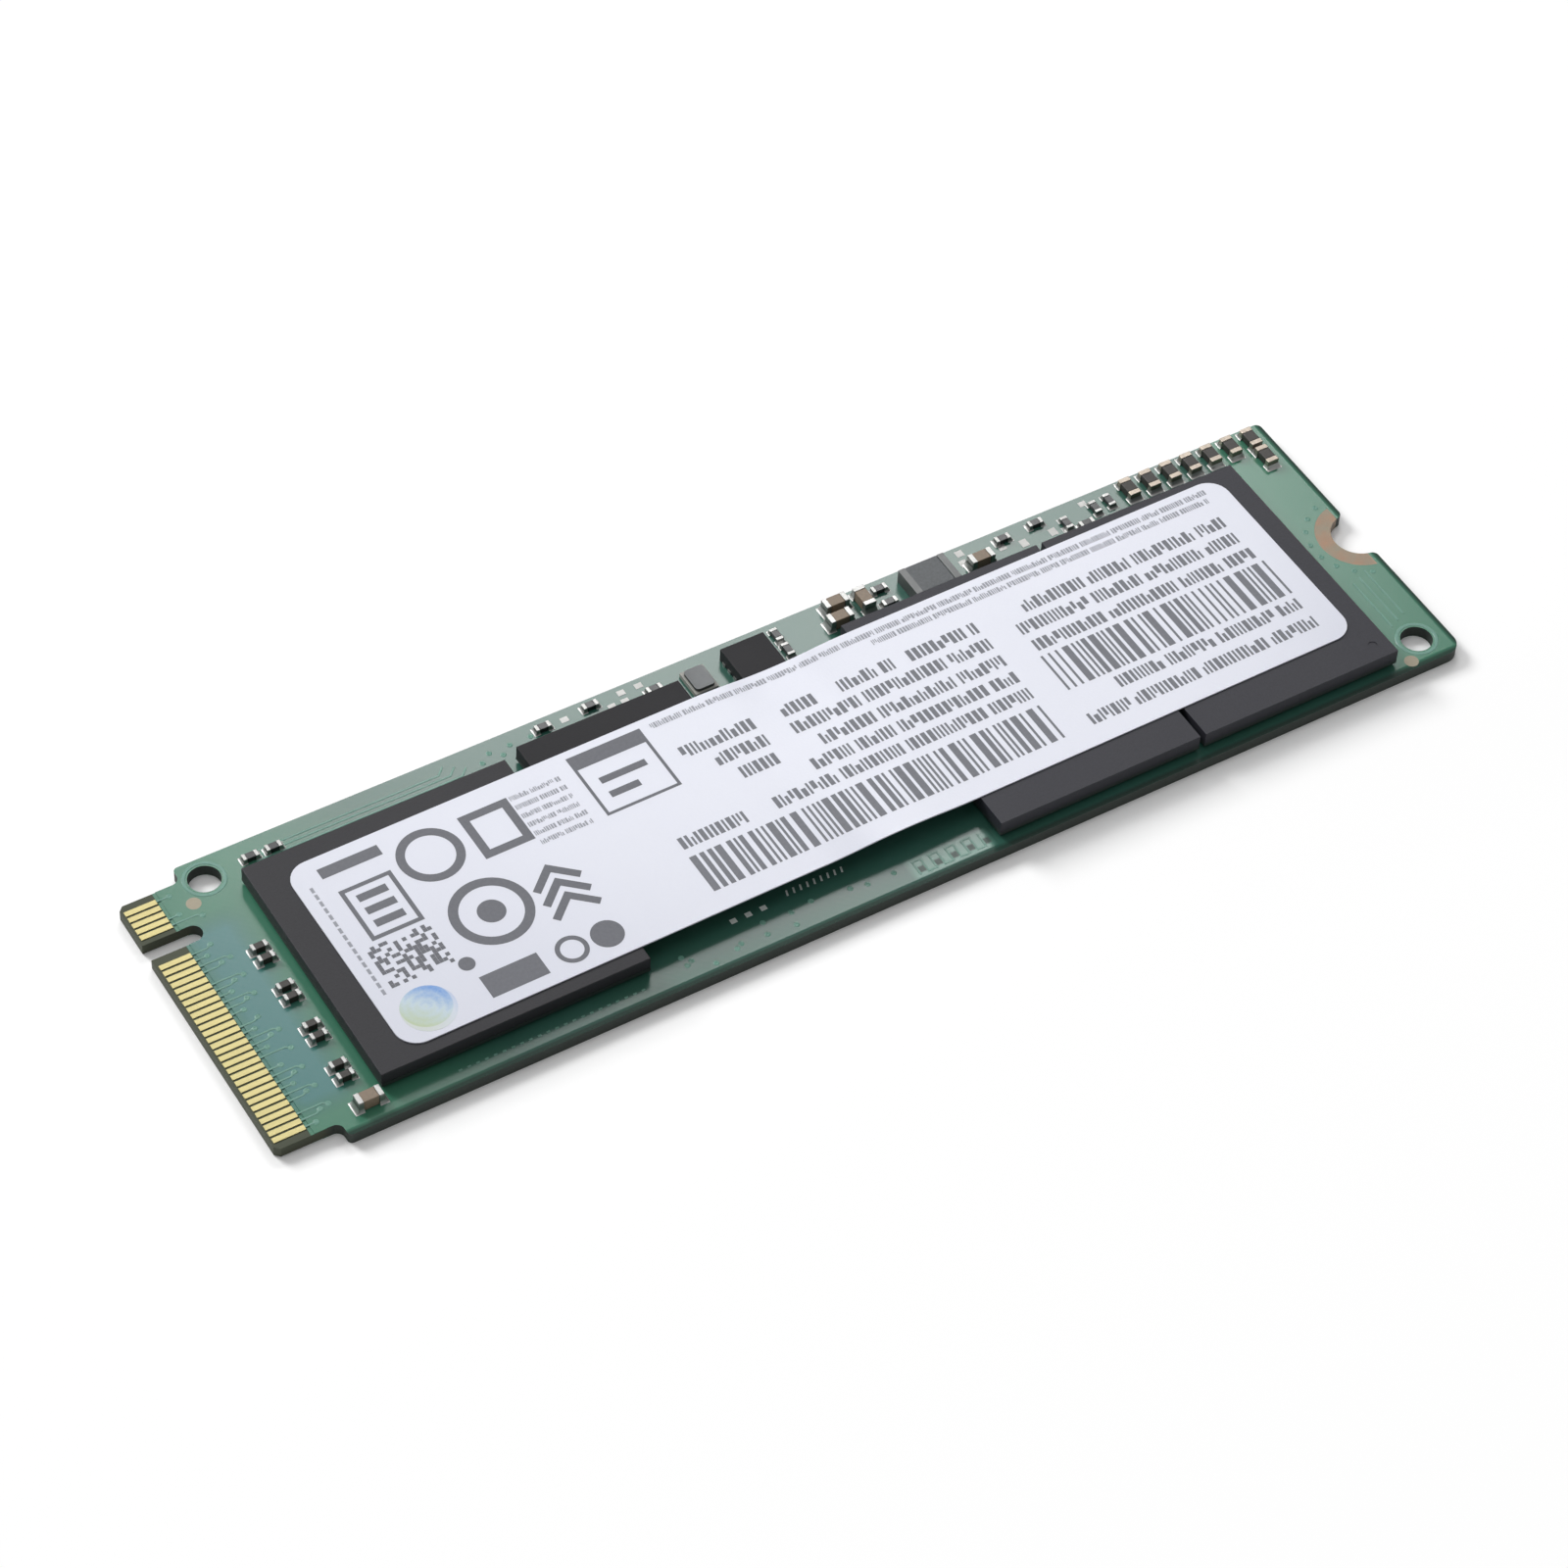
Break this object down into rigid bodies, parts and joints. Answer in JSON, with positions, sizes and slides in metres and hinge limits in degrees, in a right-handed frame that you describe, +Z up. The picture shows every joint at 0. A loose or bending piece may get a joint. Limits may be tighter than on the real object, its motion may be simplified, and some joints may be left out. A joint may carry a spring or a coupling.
{
  "type": "gumstick solid state drive",
  "caption": "Slim bare-board solid state drive with a keyed gold card edge, flat memory packages under a paper label and a half-round screw notch at its far end.",
  "frame": {"origin": "middle of the board's lower face", "axes": "+X from the card edge to the screw notch, +Y towards the key notch's side, +Z up through the label"},
  "size_m": [0.08, 0.022, 0.0024],
  "materials": {
    "solder_mask": "satin solder mask over woven glass laminate",
    "gold": "satin gold flash",
    "copper": "bare copper with a thin preservative",
    "mould_compound": "matt moulded epoxy with fine filler",
    "package_laminate": "sawn edge of a thin resin laminate",
    "solder": "matt tin",
    "dark_ceramic": "fired dark ceramic",
    "tan_ceramic": "fired tan ceramic",
    "resistor_glaze": "black overglaze",
    "crystal_ceramic": "fired ceramic",
    "lid_metal": "satin plated lid",
    "ferrite": "pressed metal powder",
    "paper": "satin coated paper"
  },
  "bodies": {
    "root": {"circuit_board": "solder_mask", "notch_plating": "copper", "alignment_pads": "copper", "upper_contacts": "gold", "lower_contacts": "gold", "controller_carrier": "package_laminate", "controller_package": "mould_compound", "memory_carrier": "package_laminate", "memory_package": "mould_compound", "inner_flash_carrier": "package_laminate", "inner_flash_package": "mould_compound", "outer_flash_carrier": "package_laminate", "outer_flash_package": "mould_compound", "controller_balls": "solder", "memory_balls": "solder", "flash_balls": "solder", "crystal_base": "crystal_ceramic", "crystal_lid": "lid_metal", "regulator_package": "mould_compound", "regulator_leads": "solder", "inductor_core": "ferrite", "inductor_terminals": "solder", "coupling_capacitor_bodies": "dark_ceramic", "coupling_capacitor_ends": "solder", "end_row_capacitor_bodies": "dark_ceramic", "end_row_capacitor_ends": "solder", "supply_capacitor_bodies": "tan_ceramic", "supply_capacitor_ends": "solder", "resistor_bodies": "resistor_glaze", "resistor_ends": "solder", "label": "paper"}
  },
  "joints": []
}
